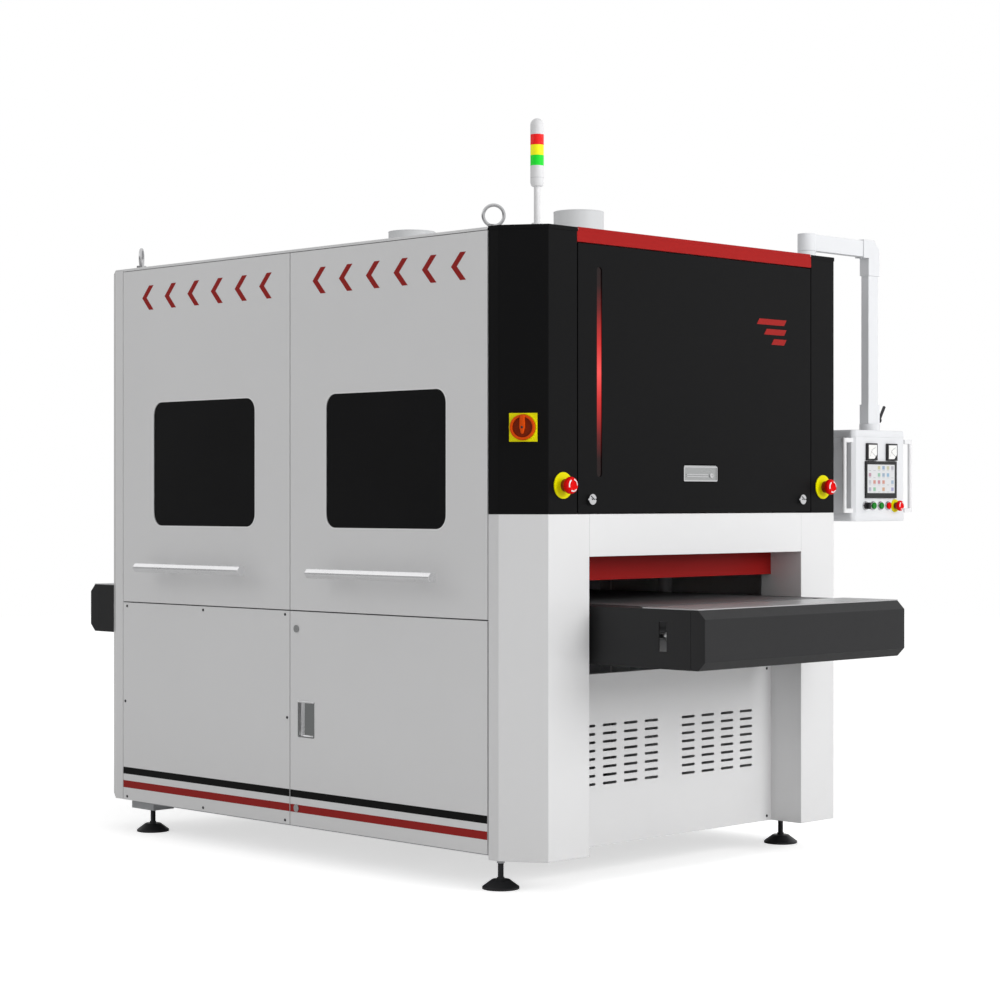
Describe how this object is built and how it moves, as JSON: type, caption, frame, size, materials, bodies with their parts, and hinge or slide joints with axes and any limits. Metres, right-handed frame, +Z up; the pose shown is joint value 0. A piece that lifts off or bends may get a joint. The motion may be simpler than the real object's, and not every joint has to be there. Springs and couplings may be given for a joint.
{
  "type": "edge rounding machine",
  "caption": "Through-feed edge rounding machine for sheet metal: enclosed body on levelling feet, conveyor table through a portal, lift-up doors, swivel control pendant.",
  "frame": {"origin": "on the floor under the middle of the outline, control pendant and side handles included", "axes": "+X across the feed towards the control pendant, +Y along the feed from infeed to outfeed, +Z up"},
  "size_m": [2.203, 3.227, 2.454],
  "materials": {
    "light_paint": "light grey-white powder coat, fine orange peel, satin",
    "black_paint": "black powder coat, satin",
    "red_paint": "dark red powder coat, satin",
    "table_paint": "anthracite powder coat, matt",
    "frame_paint": "grey primer paint, matt",
    "motor_paint": "blue-grey enamel, semi-gloss",
    "bare_steel": "bright rolled steel, lightly brushed",
    "dark_steel": "blackened steel, satin",
    "foot_steel": "black coated cast foot, semi-matt",
    "zinc": "zinc plated steel, bright",
    "satin_aluminium": "satin anodised aluminium",
    "spigot_steel": "light painted spun steel, satin",
    "belt_rubber": "dark grey rubber belt, fine texture",
    "roller_rubber": "black rubber roller cover",
    "abrasive": "abrasive cloth flaps, rough",
    "tinted_glass": "dark tinted safety glass, polished",
    "white_plastic": "white moulded plastic",
    "lens_plastic": "ribbed signal lenses, green, yellow and red",
    "yellow_plastic": "yellow moulded plastic",
    "orange_plastic": "orange-red moulded plastic",
    "red_plastic": "red moulded plastic",
    "green_plastic": "green moulded plastic",
    "black_plastic": "black moulded plastic",
    "led_lens": "red light strip behind a clear cover",
    "pendant_paint": "white powder coat, smooth"
  },
  "bodies": {
    "machine": {"base_rails": "frame_paint", "base_crossbars": "frame_paint", "levelling_feet": "foot_steel", "front_legs": "light_paint", "lintels": "light_paint", "front_pillars": "black_paint", "rear_posts": "light_paint", "end_panels": "light_paint", "side_panels": "light_paint", "panel_screws": "dark_steel", "inner_frame": "frame_paint", "roof_panel": "light_paint", "exhaust_spigots": "spigot_steel", "lifting_eyes": "bare_steel", "red_bars": "red_paint", "table_beams": "table_paint", "table_noses": "table_paint", "table_bed": "bare_steel", "conveyor_belt": "belt_rubber", "belt_tensioners": "zinc", "gearmotor": "motor_paint", "tower_stand": "white_plastic", "tower_lenses": "lens_plastic", "switch_collars": "yellow_plastic", "pendant_base": "pendant_paint"},
    "drive_shaft": {"drive_roller": "bare_steel"},
    "idler_shaft": {"idler_roller": "bare_steel"},
    "work_head": {"crosshead": "frame_paint", "head_motor": "motor_paint"},
    "carousel_spindle": {"carousel": "bare_steel", "brush_discs": "abrasive"},
    "front_press": {"front_press_roller": "roller_rubber"},
    "rear_press": {"rear_press_roller": "roller_rubber"},
    "mains_handle": {"mains_knob": "orange_plastic"},
    "left_stop": {"left_stop_cap": "red_plastic"},
    "right_stop": {"right_stop_cap": "red_plastic"},
    "front_hatch": {"front_door": "black_paint", "led_strip": "led_lens"},
    "latch": {"latch_paddle": "zinc"},
    "left_knob": {"left_door_knob": "zinc"},
    "right_knob": {"right_door_knob": "zinc"},
    "front_side_door": {"left_front_door": "light_paint", "left_front_window": "tinted_glass", "left_front_handle": "satin_aluminium"},
    "rear_side_door": {"left_rear_door": "light_paint", "left_rear_window": "tinted_glass", "left_rear_handle": "satin_aluminium"},
    "lower_door": {"service_door": "light_paint"},
    "upper_cam": {"upper_lock": "zinc"},
    "lower_cam": {"lower_lock": "zinc"},
    "arm": {"pendant_arm": "pendant_paint"},
    "lever": {"clamp_lever": "dark_steel"},
    "panel_box": {"control_box": "pendant_paint", "box_handles": "white_plastic", "panel_fittings": "black_plastic"},
    "selector": {"selector_knob": "black_plastic"},
    "start_key": {"start_button": "green_plastic"},
    "reset_key": {"reset_button": "green_plastic"},
    "stop_key": {"stop_button": "red_plastic"},
    "box_stop": {"pendant_stop_cap": "red_plastic"}
  },
  "joints": [
    {"name": "conveyor_drive", "type": "hinge", "parent": "machine", "child": "drive_shaft", "pos_m": [-0.192, 1.2675, 0.82], "axis": [1, 0, 0], "continuous": true},
    {"name": "conveyor_idle", "type": "hinge", "parent": "machine", "child": "idler_shaft", "pos_m": [-0.192, -1.2675, 0.82], "axis": [1, 0, 0], "continuous": true},
    {"name": "head_lift", "type": "slide", "parent": "machine", "child": "work_head", "axis": [0, 0, 1], "range_m": [-0.058, 0.06]},
    {"name": "carousel_spin", "type": "hinge", "parent": "work_head", "child": "carousel_spindle", "pos_m": [-0.192, 0, 1.206], "axis": [0, 0, 1], "continuous": true},
    {"name": "front_press_spin", "type": "hinge", "parent": "work_head", "child": "front_press", "pos_m": [-0.192, -0.48, 1.015], "axis": [1, 0, 0], "continuous": true},
    {"name": "rear_press_spin", "type": "hinge", "parent": "work_head", "child": "rear_press", "pos_m": [-0.192, 0.48, 1.015], "axis": [1, 0, 0], "continuous": true},
    {"name": "mains_turn", "type": "hinge", "parent": "machine", "child": "mains_handle", "pos_m": [-0.9695, -1.0883, 1.473], "axis": [-0.8366, -0.5478, 0], "range_deg": [0, 90]},
    {"name": "left_stop_push", "type": "slide", "parent": "machine", "child": "left_stop", "axis": [0, 1, 0], "range_m": [0, 0.005]},
    {"name": "right_stop_push", "type": "slide", "parent": "machine", "child": "right_stop", "axis": [0, 1, 0], "range_m": [0, 0.005]},
    {"name": "front_door_lift", "type": "hinge", "parent": "machine", "child": "front_hatch", "pos_m": [-0.192, -1.1455, 2.041], "axis": [-1, 0, 0], "range_deg": [0, 80]},
    {"name": "latch_pull", "type": "hinge", "parent": "front_hatch", "child": "latch", "pos_m": [-0.192, -1.1515, 1.358], "axis": [-1, 0, 0], "range_deg": [0, 35], "stiffness_Nm_per_rad": 0.6, "springref_deg": -17.19},
    {"name": "left_knob_turn", "type": "hinge", "parent": "front_hatch", "child": "left_knob", "pos_m": [-0.7345, -1.1555, 1.247], "axis": [0, 1, 0], "range_deg": [0, 90]},
    {"name": "right_knob_turn", "type": "hinge", "parent": "front_hatch", "child": "right_knob", "pos_m": [0.3505, -1.1555, 1.247], "axis": [0, 1, 0], "range_deg": [0, 90]},
    {"name": "front_side_door_lift", "type": "hinge", "parent": "machine", "child": "front_side_door", "pos_m": [-1.0035, -0.48675, 2.078], "axis": [0, 1, 0], "range_deg": [0, 80]},
    {"name": "rear_side_door_lift", "type": "hinge", "parent": "machine", "child": "rear_side_door", "pos_m": [-1.0035, 0.48675, 2.078], "axis": [0, 1, 0], "range_deg": [0, 80]},
    {"name": "service_door_swing", "type": "hinge", "parent": "machine", "child": "lower_door", "pos_m": [-1.0035, -0.9515, 0.49325], "axis": [0, 0, 1], "range_deg": [0, 105]},
    {"name": "upper_lock_turn", "type": "hinge", "parent": "lower_door", "child": "upper_cam", "pos_m": [-1.0135, -0.036, 0.802], "axis": [1, 0, 0], "range_deg": [0, 90]},
    {"name": "lower_lock_turn", "type": "hinge", "parent": "lower_door", "child": "lower_cam", "pos_m": [-1.0135, -0.036, 0.1845], "axis": [1, 0, 0], "range_deg": [0, 90]},
    {"name": "arm_swing", "type": "hinge", "parent": "machine", "child": "arm", "pos_m": [0.5125, -1.057, 2.141], "axis": [0, 0, 1], "range_deg": [-90, 30]},
    {"name": "clamp_turn", "type": "hinge", "parent": "arm", "child": "lever", "pos_m": [0.9255, -1.07, 1.541], "axis": [1, 0, 0], "range_deg": [0, 90]},
    {"name": "box_swivel", "type": "hinge", "parent": "arm", "child": "panel_box", "pos_m": [0.8905, -1.057, 1.527], "axis": [0, 0, 1], "range_deg": [-90, 90]},
    {"name": "selector_turn", "type": "hinge", "parent": "panel_box", "child": "selector", "pos_m": [0.7985, -1.1035, 1.224], "axis": [0, 1, 0], "range_deg": [-45, 45]},
    {"name": "start_push", "type": "slide", "parent": "panel_box", "child": "start_key", "axis": [0, 1, 0], "range_m": [0, 0.003], "stiffness_N_per_m": 800, "springref_m": -0.002},
    {"name": "reset_push", "type": "slide", "parent": "panel_box", "child": "reset_key", "axis": [0, 1, 0], "range_m": [0, 0.003], "stiffness_N_per_m": 800, "springref_m": -0.002},
    {"name": "stop_push", "type": "slide", "parent": "panel_box", "child": "stop_key", "axis": [0, 1, 0], "range_m": [0, 0.003], "stiffness_N_per_m": 800, "springref_m": -0.002},
    {"name": "box_stop_push", "type": "slide", "parent": "panel_box", "child": "box_stop", "axis": [0, 1, 0], "range_m": [0, 0.004]}
  ],
  "couplings": [
    {"joint": "conveyor_idle", "follows": "conveyor_drive", "ratio": 1},
    {"joint": "front_press_spin", "follows": "conveyor_drive", "ratio": -1.9556},
    {"joint": "rear_press_spin", "follows": "conveyor_drive", "ratio": -1.9556}
  ]
}
